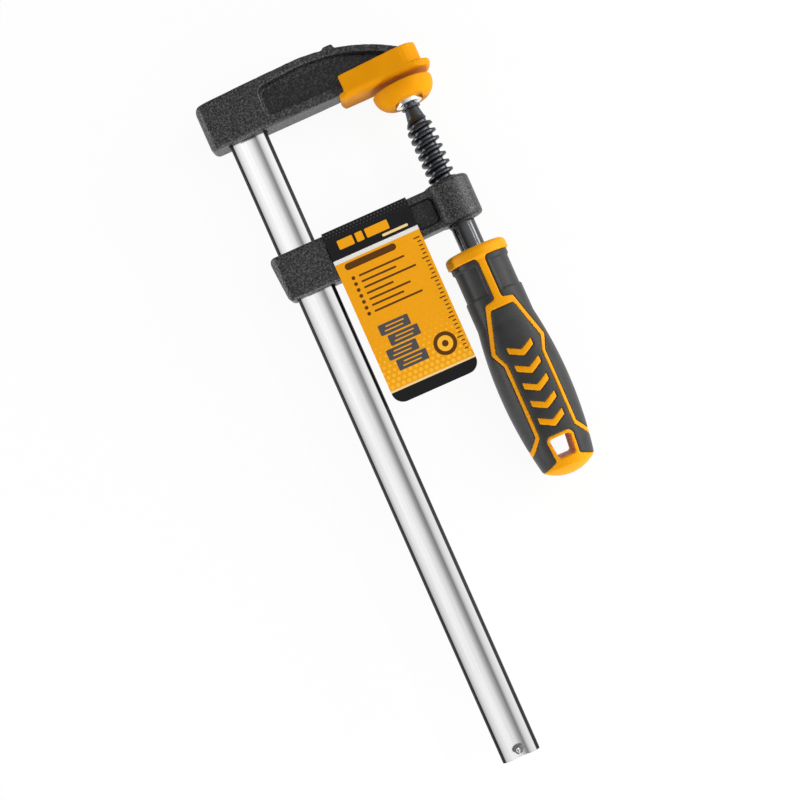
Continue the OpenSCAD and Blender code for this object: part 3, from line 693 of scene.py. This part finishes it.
# Painted highlight: a pale band along the foot of the header, at the crease.
ground = over(tree, ground, bars([(0, crease - 0.65, past_edge, 0.65, 0)]), painted_crease_highlight)
screen = both(dots(1.3, fade(-43.5, -39, 0.02, 0.46)), bars([(0, -41, past_edge, 3, 0)]))
ground = over(tree, ground, both(screen, in_front), grey_ink)
blocks = [(-9.2, -45.6, 2.8, 1.6, 0.3), (-4.0, -45.6, 1.3, 1.6, 0.3), (2.6, -45.6, 4.2, 1.6, 0.3)]
ground = over(tree, ground, both(bars(blocks), in_front), amber_ink)
ground = over(tree, ground, both(bars([(8.2, -48.6, 4.8, 0.4, 0.4)]), in_front), cream_ink)
tree.links.new(ground, shader.inputs["Base Color"])
tree.links.new(ramp(tree, mottle, (0.3, 0.34), (0.7, 0.46)), shader.inputs["Roughness"])
coating = add(tree, "ShaderNodeBump", {"Strength": 0.06, "Distance": 0.0001, "Height": mottle})
tree.links.new(coating.outputs["Normal"], shader.inputs["Normal"])

board, tree, shader = surface("white_board", Specular_IOR_Level=0.2)
where = add(tree, "ShaderNodeTexCoord").outputs["Object"]
fibre = add(tree, "ShaderNodeTexNoise", {"Vector": where, "Scale": 2400.0, "Detail": 4.0}).outputs["Fac"]
tree.links.new(ramp(tree, fibre, (0.3, (0.62, 0.6, 0.55)), (0.7, (0.74, 0.73, 0.69))),
               shader.inputs["Base Color"])
tree.links.new(ramp(tree, fibre, (0.3, 0.75), (0.7, 0.9)), shader.inputs["Roughness"])
for obj in (leaf, header):
    obj.data.materials.append(printed)
    obj.data.materials.append(board)

# Floor, light and camera
# A plain white floor under a soft grey sky. One thin strip lamp high on the right draws the streaks in the
# metal, and three low soft lamps light the sides and the butt. The camera looks straight down.
floor_shape = bmesh.new()
bmesh.ops.create_grid(floor_shape, x_segments=1, y_segments=1, size=3.0,
                      matrix=Matrix.Translation((0, 0, cad_box[0].z - 0.05 * MM)))
floor_mesh = bpy.data.meshes.new("floor")
floor_shape.to_mesh(floor_mesh)
floor_shape.free()
floor = bpy.data.objects.new("floor", floor_mesh)
bpy.context.scene.collection.objects.link(floor)

paper, tree, shader = surface("white_paper", Roughness=0.9)
shader.inputs["Base Color"].default_value = (0.9, 0.9, 0.9, 1)
out = tree.nodes["Material Output"]
ray = add(tree, "ShaderNodeLightPath").outputs
seen = add(tree, "ShaderNodeMath", {0: ray["Is Camera Ray"], 1: ray["Is Glossy Ray"]}, operation="MAXIMUM")
seen = add(tree, "ShaderNodeMath", {0: seen.outputs[0], 1: ray["Is Transmission Ray"]}, operation="MAXIMUM")
lift = add(tree, "ShaderNodeMath", {0: seen.outputs[0], 1: 0.92}, operation="MULTIPLY")
glow = add(tree, "ShaderNodeEmission", {"Color": (1, 1, 1, 1), "Strength": 1.0})
blend = add(tree, "ShaderNodeMixShader", {"Fac": lift.outputs[0], 1: shader.outputs[0], 2: glow.outputs[0]})
tree.links.new(blend.outputs[0], out.inputs["Surface"])
floor_mesh.materials.append(paper)

world = bpy.data.worlds.new("studio")
world.use_nodes = True
tree = world.node_tree
toward = add(tree, "ShaderNodeTexCoord").outputs["Generated"]
side = add(tree, "ShaderNodeSeparateXYZ", {"Vector": toward}).outputs
left_to_right = add(tree, "ShaderNodeMapRange", {"Value": side["X"], "From Min": -1.0}).outputs["Result"]
across = ramp(tree, left_to_right, (0.0, 0.6), (0.04, 0.5), (0.09, 0.07), (0.2, 0.125), (0.28, 0.2),
              (0.38, 0.31), (0.46, 0.385), (0.55, 0.4), (0.66, 0.45), (0.8, 0.45), (0.92, 0.46), (1.0, 0.5))
foot_to_head = add(tree, "ShaderNodeMapRange", {"Value": side["Y"], "From Min": -1.0}).outputs["Result"]
along = ramp(tree, foot_to_head, (0.19, 0.6), (0.34, 0.55), (0.5, 0.57), (0.62, 0.65), (0.81, 0.265))
sky = add(tree, "ShaderNodeMix", {"Factor": 1.0, 6: across, 7: along}, data_type="RGBA",
          blend_type="MULTIPLY")
tree.links.new(sky.outputs[2], tree.nodes["Background"].inputs["Color"])
tree.nodes["Background"].inputs["Strength"].default_value = 3.65
bpy.context.scene.world = world


def lamp(name, place, target, width, height, power):
    data = bpy.data.lights.new(name, "AREA")
    data.shape = "RECTANGLE"
    data.size = width
    data.size_y = height
    data.energy = power
    obj = bpy.data.objects.new(name, data)
    obj.location = place
    obj.rotation_euler = (Vector(target) - Vector(place)).to_track_quat("-Z", "Y").to_euler()
    bpy.context.scene.collection.objects.link(obj)


tool_middle = (-0.02, -0.08, 0.0)
tool_head = (-0.02, -0.02, 0.0)
lamp("key", (0.44, -0.08, 0.4), tool_middle, 0.66, 0.02, 0.9)
lamp("right", (0.6, -0.08, 0.16), tool_middle, 0.6, 0.14, 2.4)
lamp("left", (-0.66, -0.08, 0.09), tool_middle, 0.6, 0.12, 2.2)
lamp("end", (-0.02, -0.62, 0.1), tool_head, 0.4, 0.12, 1.5)

eye = bpy.data.cameras.new("eye")
eye.lens = 57.7
eye.sensor_width = 36.0
camera = bpy.data.objects.new("eye", eye)
bpy.context.scene.collection.objects.link(camera)
eye_place = Matrix.Translation((-0.0396, -0.1042, 0.4531))
lean = Matrix.Rotation(math.radians(0.73), 4, "Y") @ Matrix.Rotation(math.radians(0.12), 4, "X")
roll = Matrix.Rotation(math.radians(-23.92), 4, "Z")
camera.matrix_world = eye_place @ lean @ roll
bpy.context.scene.camera = camera
bpy.context.scene.view_settings.view_transform = "Standard"
